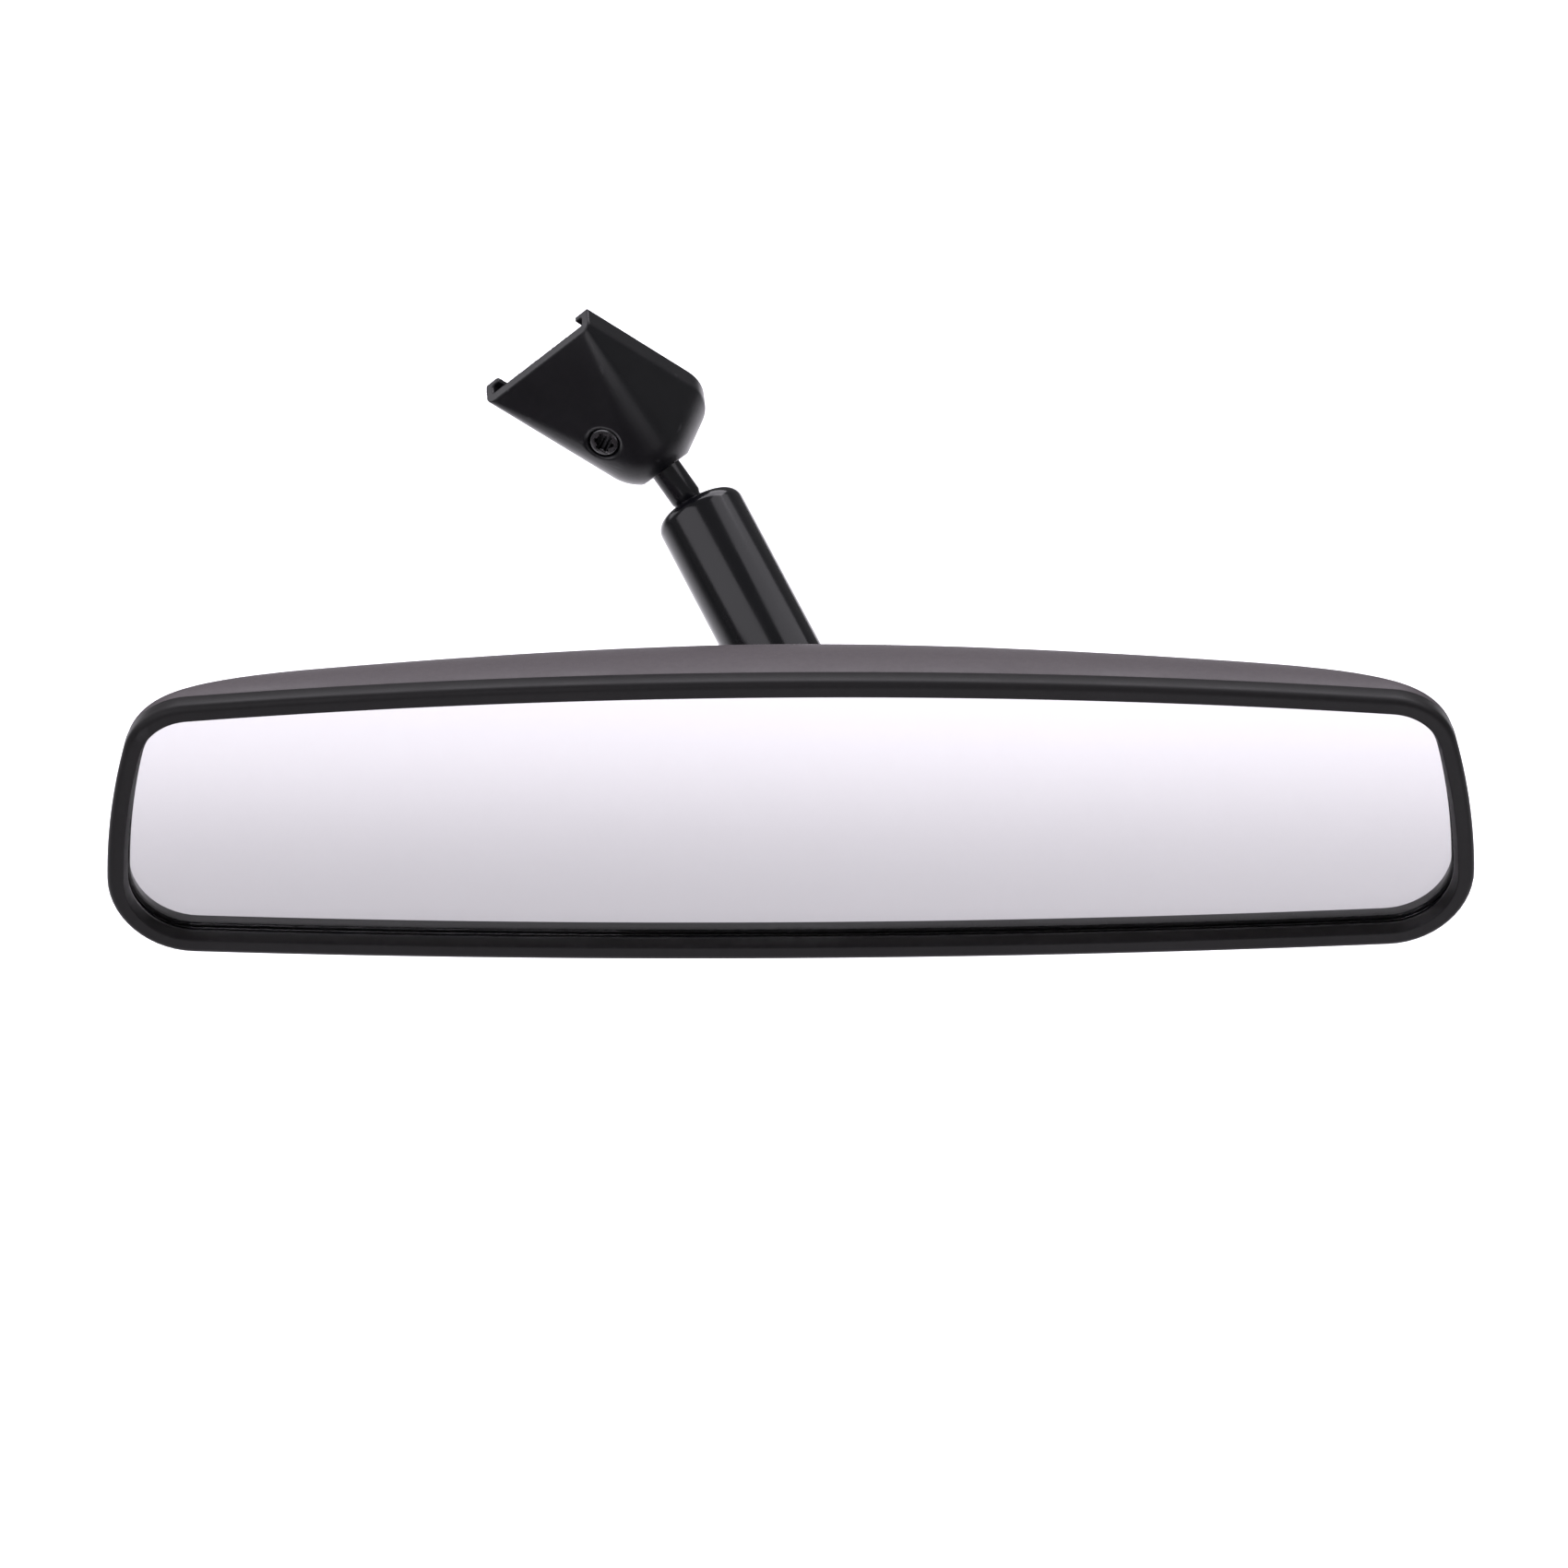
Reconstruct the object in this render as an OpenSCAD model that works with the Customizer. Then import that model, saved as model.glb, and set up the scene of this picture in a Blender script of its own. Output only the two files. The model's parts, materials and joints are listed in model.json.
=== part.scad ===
// Interior rearview mirror: a windscreen bracket, a double-ball arm and a mirror head.
// The origin is on the floor of the bracket's button channel. +X runs along the head,
// -Y is the way the glass faces, and +Z is up.

/* [Head] */
// Overall width of the mirror head
head_width = 253; // [235:1:270]
// Height of the head's middle above the glass centre
head_rise = 29.7; // [28:0.1:32]
// Depth of the head's middle below the glass centre
head_drop = 31.8; // [30:0.1:34]
// Corner radius at the top of the head
top_corner = 13.6; // [9:0.1:14]
// Corner radius at the bottom of the head
bottom_corner = 15.4; // [12:0.1:17]
// Width of the rim around the glass opening
rim_width = 3.6; // [3.4:0.05:4]
// How far the rim stands out in front of the glass
rim_height = 3.05; // [2.4:0.05:3.4]
// Depth of the rear case behind its front edge
case_depth = 29.2; // [27:0.1:31]
// Wall thickness of the rear case
case_wall = 1.65; // [1.4:0.05:1.7]
// Thickness of the mirror glass
glass_t = 2; // [1.6:0.1:2.2]

/* [Arm] */
// Distance between the two ball centres
arm_length = 35; // [34:0.5:48]
// Outside diameter of the arm tube
tube_d = 17.6; // [16.8:0.1:19]
// Diameter of both balls
ball_d = 12; // [11.6:0.1:12]
// Diameter of the ball studs' necks
neck_d = 6.2; // [5.6:0.1:6.3]
// How far the arm leans sideways from straight back
lean = 34.4; // [10:0.1:40]
// How steeply the arm rises from the head
rise = 37.2; // [25:0.1:45]
// How steeply the head's ball stud rises
lower_stud_rise = 25; // [15:0.5:35]

/* [Bracket] */
// Width of the windscreen bracket
bracket_width = 28.4; // [28:0.1:30]
// Length of the bracket from the mouth to the far end
bracket_length = 37.3; // [36:0.1:38]
// Inside width of the button channel
channel_width = 24.6; // [22:0.1:25]
// Clear width between the channel's two lips
lip_gap = 21.4; // [18:0.1:21.5]
// Height of the channel under its lips
channel_height = 1.9; // [1.6:0.1:2.4]
// Angle of the channel's floor from upright
rake = 20.4; // [0:0.1:40]
// Turn of the bracket in the plane of its channel
turn = 29.5; // [0:0.5:60]
// Sideways tilt of the bracket
skew = -15.2; // [-25:0.1:0]

/* [Hidden] */
$fn = 64;

// Ball joints: clearances are radial
run_gap = 0.05;
ball_r = ball_d / 2;
liner_t = 1.3;
liner_in = ball_r + run_gap;
liner_out = liner_in + liner_t;
socket_r = liner_out + run_gap;
neck_r = neck_d / 2;
waist_r = neck_r - 0.35;
waist_run = 0.5;
waist_taper = 0.7;
tube_r = tube_d / 2;
upper_lip = 5;
lower_lip = 3.2;
upper_fillet = 2.8;
lower_fillet = 2;
upper_liner_half = 3.8;
lower_liner_half = 4.3;
seat_top = 3.4;
seat_bottom = 8.6;
seat_hole = 3.2;
spring_turns = 4.5;
wire_r = 0.8;
coil_r = 5.5;
wire_sides = 8;
steps_per_turn = 20;

// Bracket, in its own frame: X across the channel, Y from the mouth inwards, Z out of the channel
mouth_y = -15.3;
end_y = mouth_y + bracket_length;
far_corner = 10.3;
web_t = 1.5;
lip_t = 1.2;
lip_z = channel_height + lip_t;
channel_end = 12;
mouth_land = 10;
bulb = [0, 11.8, -3.15];
bulb_r = 9.85;
boss_face = 8.6;
stud_drop = 41.4;
stud_reach = 13.85;
shank_in = 5.5;
mouth_run = bulb.y - mouth_y;
mouth_fall = -web_t - bulb.z;
back_slope = atan(mouth_fall / mouth_run) + asin(bulb_r / norm([mouth_run, mouth_fall]));
screw_x = -1.7;
screw_y = 2.9;
screw_z = -web_t - (screw_y - mouth_y) * tan(back_slope);
screw_r = 3;
screw_length = 9.6;
screw_sink = 0.3;
screw_cone = 0.4;
screw_point = 0.8;
torx_r = 1.55;
torx_lobe = 0.45;
torx_deep = 3;

// Head, in its own frame: the origin is the middle of the glass face, +Y goes back
seam_y = 1;
case_inset = 0.15;
case_land = 1.4;
// Powers of the dome's sine and cosine: its depth, and how its length and height shrink
dome_deep = 1.24;
dome_long = 1.75;
dome_high = 0.67;
dome_rings = 11;
dome_end = 84;
// Rings crowd towards the case's front edge, where it curves in behind the rim
ring_crowding = 1.4;
// How much the corners grow towards the back of the case
corner_growth = 19.5;
skirt_out = 2.1;
skirt_in = 2.65;
skirt_end = 2.4;
glass_inset = 2.75;
lip_back = -0.02;
lip_front = -0.7;
rim_round = 1.4;
rim_face = 3.15;
rim_edge = 0.3;
glass_bevel = 0.35;
bevel_depth = 0.25;
coating_t = 0.1;
film_t = 0.2;
foam_back = 5;
pad_size = [12, 34];
pad_x = [60, 95];
rib_t = 1.6;
rib_height = 40;
plate_front = 20.5;
plate_t = 1.6;
plate_size = [58, 22];
plate_corner = 4;
plate_hole_r = 4.05;
plate_screw_x = 23;
plate_screw_z = 6;
boss_r = 3.6;
pilot_r = 1.5;
plate_screw_r = 1.45;
plate_head_r = 2.8;
plate_head_t = 1.9;
screw_reach = 3.9;
lower_ball_back = 43.4;
lower_ball_up = 0.8;
collar_r = 6.4;
collar_taper = 1.7;
case_hole_r = 7;
knee_y = 28;
stud_shank_r = 3.95;
washer_r = 7.5;
washer_t = 1.4;
lock_r = 6.6;
lock_t = 1.8;
nut_flats = 13;
nut_t = 5;
stud_tail = 1.5;
lock_low = plate_front - washer_t - lock_t;
nut_low = lock_low - nut_t;

// The head's outline is four large arcs joined by the corner arcs
top_arc_r = 1356;
bottom_arc_r = 2538;
side_arc_r = 131.6;
side_arc_z = -24.1;
// The corners start before the side arcs reach their widest, which would be this much further out
side_over = 0.5;
arc_steps = 7;
top_c = [0, head_rise - top_arc_r];
bottom_c = [0, bottom_arc_r - head_drop];
side_c = [head_width / 2 + side_over - side_arc_r, side_arc_z];

function rx(a, p) = [p.x, p.y * cos(a) - p.z * sin(a), p.y * sin(a) + p.z * cos(a)];
function ry(a, p) = [p.x * cos(a) + p.z * sin(a), p.y, p.z * cos(a) - p.x * sin(a)];
function rz(a, p) = [p.x * cos(a) - p.y * sin(a), p.x * sin(a) + p.y * cos(a), p.z];
function from_bracket(p) = ry(skew, rx(rake - 90, rz(-turn, p)));

// Places of the joints in the part's frame
stud_dir = [0, cos(stud_drop), -sin(stud_drop)];
boss = bulb + boss_face * stud_dir;
upper_ball = from_bracket(boss + stud_reach * stud_dir);
arm_dir = [-sin(lean) * cos(rise), cos(lean) * cos(rise), sin(rise)];
lower_ball = upper_ball - arm_length * arm_dir;
glass_centre = lower_ball - [0, lower_ball_back, lower_ball_up];
knee_u = (lower_ball_back - knee_y) / cos(lower_stud_rise);
knee_z = lower_ball_up - knee_u * sin(lower_stud_rise);
plate_back = plate_front + plate_t;
collar_t = knee_y - plate_back - collar_taper + 1;

// Where two circles cross, on the left or the right of the line between their centres
function cross_point(c0, r0, c1, r1, side) =
    let (d = c1 - c0, l = norm(d), a = (r0 * r0 - r1 * r1 + l * l) / (2 * l), h = sqrt(r0 * r0 - a * a))
    c0 + a * d / l + side * h * [-d.y, d.x] / l;
function heading(c, p) = atan2(p.y - c.y, p.x - c.x);
function arc(c, r, a0, a1) = [for (i = [1:arc_steps]) let (a = a0 + (a1 - a0) * i / arc_steps)
    c + r * [cos(a), sin(a)]];

// The right half of the outline, from the middle of the top to the middle of the bottom
function half_outline(inset, growth) =
    let (top_r = top_corner + growth, bottom_r = bottom_corner + growth,
        top_f = cross_point(top_c, top_arc_r - top_r, side_c, side_arc_r - top_r, -1),
        bottom_f = cross_point(bottom_c, bottom_arc_r - bottom_r, side_c, side_arc_r - bottom_r, 1))
    concat(
        arc(top_c, top_arc_r - inset, 90, heading(top_c, top_f)),
        arc(top_f, top_r - inset, heading(top_c, top_f), heading(side_c, top_f)),
        arc(side_c, side_arc_r - inset, heading(side_c, top_f), heading(side_c, bottom_f)),
        arc(bottom_f, bottom_r - inset, heading(side_c, bottom_f), heading(bottom_c, bottom_f)),
        arc(bottom_c, bottom_arc_r - inset, heading(bottom_c, bottom_f), -90)
    );
function outline(inset, growth = 0) = let (h = half_outline(inset, growth), n = len(h)) concat(
    h,
    [for (i = [n - 2:-1:0]) [-h[i].x, h[i].y]],
    [[0, head_rise - inset]]
);

module at_bracket() { rotate([0, skew, 0]) rotate([rake - 90, 0, 0]) rotate([0, 0, -turn]) children(); }
module at_boss() { at_bracket() translate(boss) rotate([-90 - stud_drop, 0, 0]) children(); }
module at_screw() {
    at_bracket() translate([screw_x, screw_y, screw_z]) rotate([-back_slope, 0, 0]) children();
}
module at_arm() { translate(lower_ball) rotate([0, 90 - rise, 90 + lean]) children(); }
module at_head() { translate(glass_centre) children(); }
// +Z runs from the lower ball into the head
module at_lower_neck() { translate(lower_ball) rotate([90 + lower_stud_rise, 0, 0]) children(); }
// +Z runs straight back along the stud's shank
module at_shank() { at_head() translate([0, 0, knee_z]) rotate([-90, 0, 0]) children(); }
// A flat shape in the plane of the glass, from one depth to another
module slab(front, back) {
    translate([0, back, 0]) rotate([90, 0, 0]) linear_extrude(back - front) children();
}

// A closed surface through rings of points, each ring with the same number of points
module skin(rings, closed = false) {
    n = len(rings[0]);
    m = len(rings);
    last = closed ? m - 1 : m - 2;
    faces = [for (k = [0:last], i = [0:n - 1], f = [0, 1])
        let (a = k * n + i, b = k * n + (i + 1) % n, c = ((k + 1) % m) * n + (i + 1) % n,
            d = ((k + 1) % m) * n + i)
        f == 0 ? [a, c, b] : [a, d, c]];
    caps = closed ? [] : [[for (i = [0:n - 1]) i], [for (i = [n - 1:-1:0]) (m - 1) * n + i]];
    polyhedron(points = [for (r = rings, p = r) p], faces = concat(faces, caps));
}

// One ring of the head's shape, at a depth behind the glass face
function ring(inset, y, sx = 1, sz = 1) =
    [for (p = outline(inset, corner_growth * (1 - sz))) [p.x * sx, y, p.y * sz]];
// Rings of the case's shape, or of a shape inside it by the given wall: a straight land at the
// front edge, then a dome whose outline shrinks as its depth grows
function dome(wall) = concat(
    [ring(case_inset + wall, seam_y)],
    [for (k = [0:dome_rings]) let (a = dome_end * pow(k / dome_rings, ring_crowding))
        ring(case_inset + wall,
            seam_y + case_land + (case_depth - case_land) * pow(sin(a), dome_deep) - wall * sqrt(sin(a)),
            pow(cos(a), dome_long), pow(cos(a), dome_high))]
);

// A ring-shaped piece cut from a hollow ball
module liner_zone(low, high) {
    rotate_extrude() intersection() {
        difference() {
            circle(liner_out);
            circle(liner_in);
        }
        translate([0, low]) square([socket_r, high - low]);
    }
}

// A cup that bears on a liner, with its ball centre at the origin and the spring below
module ball_seat() {
    rotate_extrude() difference() {
        translate([seat_hole, -seat_bottom]) square([socket_r - run_gap - seat_hole, seat_bottom - seat_top]);
        circle(socket_r);
    }
}

// A ball with a waist and a neck along +Z, down to the given reach
module ball_and_neck(reach) {
    sphere(ball_r);
    cylinder(h = reach, r = waist_r);
    translate([0, 0, ball_r + waist_run]) cylinder(h = waist_taper, r1 = waist_r, r2 = neck_r);
    translate([0, 0, ball_r + waist_run + waist_taper])
        cylinder(h = reach - ball_r - waist_run - waist_taper, r = neck_r);
}

module bracket_body() {
    intersection() {
        hull() {
            translate([0, 0, -web_t]) linear_extrude(web_t + lip_z) {
                translate([-bracket_width / 2, mouth_y]) square([bracket_width, mouth_land]);
                for (s = [-1, 1]) translate([s * (bracket_width / 2 - far_corner), end_y - far_corner])
                    circle(far_corner, $fn = 32);
            }
            translate(bulb) sphere(bulb_r, $fn = 40);
        }
        translate([-bracket_width, mouth_y, -2 * bulb_r])
            cube([2 * bracket_width, 2 * bracket_length, 2 * bulb_r + lip_z]);
    }
}

module windscreen_bracket() {
    color([0.07, 0.07, 0.08]) difference() {
        at_bracket() difference() {
            bracket_body();
            translate([-channel_width / 2, mouth_y - 1, 0])
                cube([channel_width, channel_end - mouth_y + 1, channel_height]);
            translate([-lip_gap / 2, mouth_y - 1, channel_height / 2])
                cube([lip_gap, channel_end - mouth_y + 1, 3 * lip_z]);
        }
        at_boss() translate([-2 * boss_face, -2 * boss_face, 0]) cube(4 * boss_face);
        at_boss() translate([0, 0, -shank_in]) cylinder(h = shank_in + 1, r = neck_r + run_gap / 2);
        at_screw() translate([0, 0, -2]) cylinder(h = 2 * screw_length, r = screw_r + run_gap);
    }
}

module set_screw() {
    color([0.12, 0.12, 0.13]) at_screw() translate([0, 0, screw_sink]) difference() {
        union() {
            cylinder(h = screw_cone, r1 = screw_r - screw_cone, r2 = screw_r);
            translate([0, 0, screw_cone]) cylinder(h = screw_length - screw_cone - screw_point, r = screw_r);
            translate([0, 0, screw_length - screw_point])
                cylinder(h = screw_point, r1 = screw_r, r2 = screw_r - screw_point);
        }
        translate([0, 0, -1]) cylinder(h = torx_deep + 1, r = torx_r);
        for (a = [0:60:300]) rotate([0, 0, a]) translate([torx_r, 0, -1])
            cylinder(h = torx_deep + 1, r = torx_lobe, $fn = 24);
    }
}

module upper_ball_stud() {
    color([0.1, 0.1, 0.11]) at_boss() {
        translate([0, 0, stud_reach]) mirror([0, 0, 1]) ball_and_neck(stud_reach);
        translate([0, 0, 0.1 - shank_in]) cylinder(h = shank_in, r = neck_r);
    }
}

module upper_ball_liner() {
    color("ivory") at_arm() translate([0, 0, arm_length]) liner_zone(-upper_liner_half, upper_liner_half);
}
module upper_ball_seat() { color("dimgray") at_arm() translate([0, 0, arm_length]) ball_seat(); }
module lower_ball_seat() { color("dimgray") at_arm() mirror([0, 0, 1]) ball_seat(); }
module lower_ball_liner() {
    color("ivory") at_lower_neck() liner_zone(-lower_liner_half, lower_liner_half);
}

module arm_tube() {
    top = arm_length + upper_lip;
    color([0.09, 0.09, 0.1]) at_arm() rotate_extrude($fn = 96) difference() {
        union() {
            translate([0, -lower_lip]) square([tube_r - lower_fillet, arm_length]);
            translate([tube_r - lower_fillet, lower_fillet - lower_lip]) circle(lower_fillet);
            translate([0, lower_fillet - lower_lip])
                square([tube_r, top + lower_lip - lower_fillet - upper_fillet]);
            translate([tube_r - upper_fillet, top - upper_fillet]) circle(upper_fillet);
            translate([0, arm_length]) square([tube_r - upper_fillet, upper_lip]);
        }
        square([socket_r, arm_length]);
        for (centre = [0, arm_length]) translate([0, centre]) circle(socket_r);
    }
}

module arm_spring() {
    low = seat_bottom + wire_r + run_gap;
    climb = arm_length - 2 * low;
    steps = spring_turns * steps_per_turn;
    color("silver") at_arm() skin([for (k = [0:steps]) [for (i = [0:wire_sides - 1])
        let (a = 360 * k / steps_per_turn, b = -360 * i / wire_sides, r = coil_r + wire_r * cos(b))
        [r * cos(a), r * sin(a), low + climb * k / steps + wire_r * sin(b)]]]);
}

module lower_ball_stud() {
    color([0.6, 0.6, 0.62]) {
        at_lower_neck() ball_and_neck(knee_u);
        at_shank() {
            translate([0, 0, plate_back]) cylinder(h = collar_t, r = collar_r);
            translate([0, 0, plate_back + collar_t]) cylinder(h = collar_taper, r1 = collar_r, r2 = neck_r);
            translate([0, 0, nut_low - stud_tail])
                cylinder(h = plate_back + stud_tail - nut_low, r = stud_shank_r);
        }
    }
}

// A flat ring on the stud's shank
module shank_ring(low, h, r) {
    at_shank() translate([0, 0, low]) difference() {
        cylinder(h = h, r = r);
        translate([0, 0, -1]) cylinder(h = h + 2, r = stud_shank_r + run_gap);
    }
}

module stud_washer() { color("silver") shank_ring(plate_front - washer_t, washer_t, washer_r); }

module stud_lock_washer() {
    color("gray") difference() {
        shank_ring(lock_low, lock_t, lock_r);
        at_shank() translate([0, 0, lock_low + lock_t / 2]) rotate([20, 0, 0])
            translate([stud_shank_r - 1, -0.4, -5]) cube([6, 0.8, 10]);
    }
}

module stud_nut() {
    color("silver") at_shank() translate([0, 0, nut_low]) difference() {
        cylinder(h = nut_t, r = nut_flats / 2 / cos(30), $fn = 6);
        translate([0, 0, -1]) cylinder(h = nut_t + 2, r = stud_shank_r + run_gap);
    }
}

module at_plate_screws() {
    for (sx = [-1, 1], sz = [-1, 1])
        at_shank() translate([sx * plate_screw_x, sz * plate_screw_z, 0]) children();
}

module stud_plate() {
    color("lightgray") difference() {
        at_head() translate([0, 0, knee_z]) slab(plate_front, plate_back)
            for (turned = [0, 1]) square([plate_size.x - 2 * plate_corner * turned,
                plate_size.y - 2 * plate_corner * (1 - turned)], center = true);
        at_shank() cylinder(h = 40, r = plate_hole_r);
        at_plate_screws() cylinder(h = 40, r = pilot_r + 0.2);
    }
}

module plate_screws() {
    color("silver") at_plate_screws() {
        translate([0, 0, plate_front - plate_head_t]) difference() {
            cylinder(h = plate_head_t, r = plate_head_r);
            for (a = [0, 90]) rotate([0, 0, a]) cube([3, 0.7, 2], center = true);
        }
        translate([0, 0, plate_front - 0.1]) cylinder(h = screw_reach, r = plate_screw_r);
    }
}

module rear_case() {
    color([0.35, 0.33, 0.34]) at_head() difference() {
        union() {
            // the inner surface's rings run back to the front edge, so that the shell closes
            outer = dome(0);
            inner = dome(case_wall);
            skin(concat([for (k = [len(inner) - 1:-1:0]) inner[k]], outer));
            intersection() {
                skin(dome(case_wall / 2));
                union() {
                    for (s = [-1, 1], x = pad_x) translate([s * x - rib_t / 2, foam_back, -rib_height / 2])
                        cube([rib_t, case_depth, rib_height]);
                    for (sx = [-1, 1], sz = [-1, 1])
                        translate([sx * plate_screw_x, plate_back, knee_z - sz * plate_screw_z])
                            rotate([-90, 0, 0]) cylinder(h = case_depth, r = boss_r);
                }
            }
        }
        translate([0, plate_back, knee_z]) rotate([-90, 0, 0]) cylinder(h = case_depth, r = case_hole_r);
        for (sx = [-1, 1], sz = [-1, 1])
            translate([sx * plate_screw_x, plate_back - 1, knee_z - sz * plate_screw_z])
                rotate([-90, 0, 0]) cylinder(h = screw_reach, r = pilot_r);
    }
}

// The rim's section as [inset, depth], from the skirt around the lip and the front to the seam
rim_section = concat(
    [[skirt_out, seam_y], [skirt_out, skirt_end], [skirt_in, skirt_end], [skirt_in, lip_back],
     [rim_width, lip_back], [rim_width, lip_front], [rim_face, rim_edge - rim_height],
     [rim_face - rim_edge, -rim_height]],
    [for (a = [90:-22.5:0]) [rim_round * (1 - cos(a)), rim_round - rim_height - rim_round * sin(a)]],
    [[0, seam_y]]
);

module front_bezel() {
    color([0.17, 0.16, 0.17]) at_head() skin([for (p = rim_section) ring(p.x, p.y)], closed = true);
}
// The glass, with its front edge ground to a bevel
module mirror_glass() {
    color("lightblue") at_head() skin([
        ring(glass_inset + glass_bevel, 0),
        ring(glass_inset, bevel_depth),
        ring(glass_inset, glass_t)
    ]);
}

module silver_coating() {
    color("lightgray") at_head() slab(glass_t, glass_t + coating_t) polygon(outline(glass_inset + 0.3));
}

module safety_film() {
    front = glass_t + coating_t;
    color("saddlebrown") at_head() slab(front, front + film_t) polygon(outline(glass_inset + 0.6));
}

module foam_pads() {
    front = glass_t + coating_t + film_t;
    color("darkslategray") at_head() for (s = [-1, 1], x = pad_x) translate([s * x, 0, 0])
        slab(front, foam_back) square(pad_size, center = true);
}

windscreen_bracket();
set_screw();
upper_ball_stud();
upper_ball_liner();
upper_ball_seat();
arm_tube();
arm_spring();
lower_ball_seat();
lower_ball_liner();
lower_ball_stud();
stud_plate();
plate_screws();
stud_washer();
stud_lock_washer();
stud_nut();
rear_case();
front_bezel();
mirror_glass();
silver_coating();
safety_film();
foam_pads();
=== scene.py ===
"""Interior rearview mirror: detailed pieces, materials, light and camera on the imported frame."""
import json
import math

import bmesh
import bpy
from mathutils import Matrix, Vector


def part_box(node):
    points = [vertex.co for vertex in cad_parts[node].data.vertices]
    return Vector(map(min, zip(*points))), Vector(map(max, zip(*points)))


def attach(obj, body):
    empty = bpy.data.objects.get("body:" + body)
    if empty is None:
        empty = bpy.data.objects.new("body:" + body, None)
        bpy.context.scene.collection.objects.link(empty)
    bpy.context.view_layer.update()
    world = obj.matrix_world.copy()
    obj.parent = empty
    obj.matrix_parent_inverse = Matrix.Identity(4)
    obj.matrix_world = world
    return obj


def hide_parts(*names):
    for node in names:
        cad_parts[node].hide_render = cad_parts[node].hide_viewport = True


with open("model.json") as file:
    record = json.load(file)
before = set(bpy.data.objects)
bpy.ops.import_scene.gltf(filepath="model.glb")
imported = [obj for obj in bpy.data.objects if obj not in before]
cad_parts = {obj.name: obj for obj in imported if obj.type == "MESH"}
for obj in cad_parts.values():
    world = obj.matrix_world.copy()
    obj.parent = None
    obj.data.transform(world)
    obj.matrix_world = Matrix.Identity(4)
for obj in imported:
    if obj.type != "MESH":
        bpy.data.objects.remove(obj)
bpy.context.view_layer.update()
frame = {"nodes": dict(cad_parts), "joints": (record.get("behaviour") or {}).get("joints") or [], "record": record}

MM = 0.001

# ---------------------------------------------------------------- places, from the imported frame

JOINTS = {joint["name"]: joint for joint in frame["joints"]}
MOUNTS = {mount["name"]: mount for mount in frame["record"]["mounts"]}
UPPER_BALL = Vector(JOINTS["upper_twist"]["pos_m"])
LOWER_BALL = Vector(JOINTS["lower_twist"]["pos_m"])

# The head's outline and sections, in mm from the middle of the glass face
HEAD_HALF_WIDTH = 126.5
HEAD_RISE = 29.7
HEAD_DROP = 31.8
TOP_CORNER = 13.6
BOTTOM_CORNER = 15.4
TOP_ARC = 1356.0
BOTTOM_ARC = 2538.0
SIDE_ARC = 131.6
SIDE_ARC_Z = -24.1
SIDE_OVER = 0.5
GLASS_INSET = 2.75
GLASS_THICK = 2.0
SEAM_Y = 1.0
CASE_INSET = 0.15
CASE_DEPTH = 29.2
CASE_WALL = 1.65
CASE_LAND = 1.4
CORNER_GROWTH = 19.5

glass_low, glass_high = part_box("mirror_glass")
GLASS = Vector((
    (glass_low.x + glass_high.x) / 2,
    glass_low.y,
    glass_low.z + (HEAD_DROP - GLASS_INSET) * MM,
))


def frame_of(origin, x_axis, y_axis):
    """A matrix from mm in a piece's own axes to the frame's metres."""
    x = Vector(x_axis).normalized()
    z = x.cross(Vector(y_axis)).normalized()
    y = z.cross(x)
    turn = Matrix((x, y, z)).transposed().to_4x4()
    return Matrix.Translation(origin) @ turn @ Matrix.Diagonal((MM, MM, MM, 1))


def frame_along(origin, z_axis):
    """The same kind of matrix for a round piece, with its +Z along the given direction."""
    z = Vector(z_axis).normalized()
    x = z.orthogonal().normalized()
    return frame_of(origin, x, z.cross(x))


def point_on(place, x, y, z):
    return place @ Vector((x, y, z))


def way(place, x, y, z):
    """A direction in a piece's own axes, as a unit vector of the frame."""
    return (place.to_3x3() @ Vector((x, y, z))).normalized()


NORMAL = Vector(MOUNTS["screen_face"]["axis"])
ALONG = -Vector(MOUNTS["button_channel"]["axis"])
BRACKET = frame_of((0, 0, 0), ALONG.cross(NORMAL), ALONG)
HEAD = frame_of(GLASS, (1, 0, 0), (0, 1, 0))
ARM = frame_along(LOWER_BALL, JOINTS["upper_twist"]["axis"])
ARM_LENGTH = (UPPER_BALL - LOWER_BALL).length / MM

# ---------------------------------------------------------------- materials

# Most of a noise texture's values lie in this range
NOISE_RANGE = (0.3, 0.7)
# The pointiness where an edge starts to turn lighter, and where it is lightest; the lighter edge is part scuffed
# paint, part painted highlight
EDGE_RANGE = (0.52, 0.62)
WEAR_AND_HIGHLIGHT_SCALE = 400
WEAR_AND_HIGHLIGHT_LEAST = 0.2
WEAR_AND_HIGHLIGHT_MOST = 0.7
GLOSS_SCALE = 90


def principled(name, color, roughness, **more):
    """A material with one Principled shader, and its node tree's handles."""
    mat = bpy.data.materials.new(name)
    mat.use_nodes = True
    shader = mat.node_tree.nodes["Principled BSDF"]
    shader.inputs["Base Color"].default_value = (*color, 1)
    shader.inputs["Roughness"].default_value = roughness
    for key, value in more.items():
        shader.inputs[key.replace("_", " ")].default_value = value
    return mat, mat.node_tree, shader


def noise(tree, scale, detail=3.0):
    """The value of a noise texture in the piece's own coordinates."""
    coords = tree.nodes.new("ShaderNodeTexCoord")
    node = tree.nodes.new("ShaderNodeTexNoise")
    node.inputs["Scale"].default_value = scale
    node.inputs["Detail"].default_value = detail
    tree.links.new(coords.outputs["Object"], node.inputs["Vector"])
    return node.outputs["Fac"]


def spread(tree, value, low, high):
    """Maps a noise value onto low..high."""
    node = tree.nodes.new("ShaderNodeMapRange")
    node.inputs["From Min"].default_value = NOISE_RANGE[0]
    node.inputs["From Max"].default_value = NOISE_RANGE[1]
    node.inputs["To Min"].default_value = low
    node.inputs["To Max"].default_value = high
    tree.links.new(value, node.inputs["Value"])
    return node.outputs["Result"]


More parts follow.
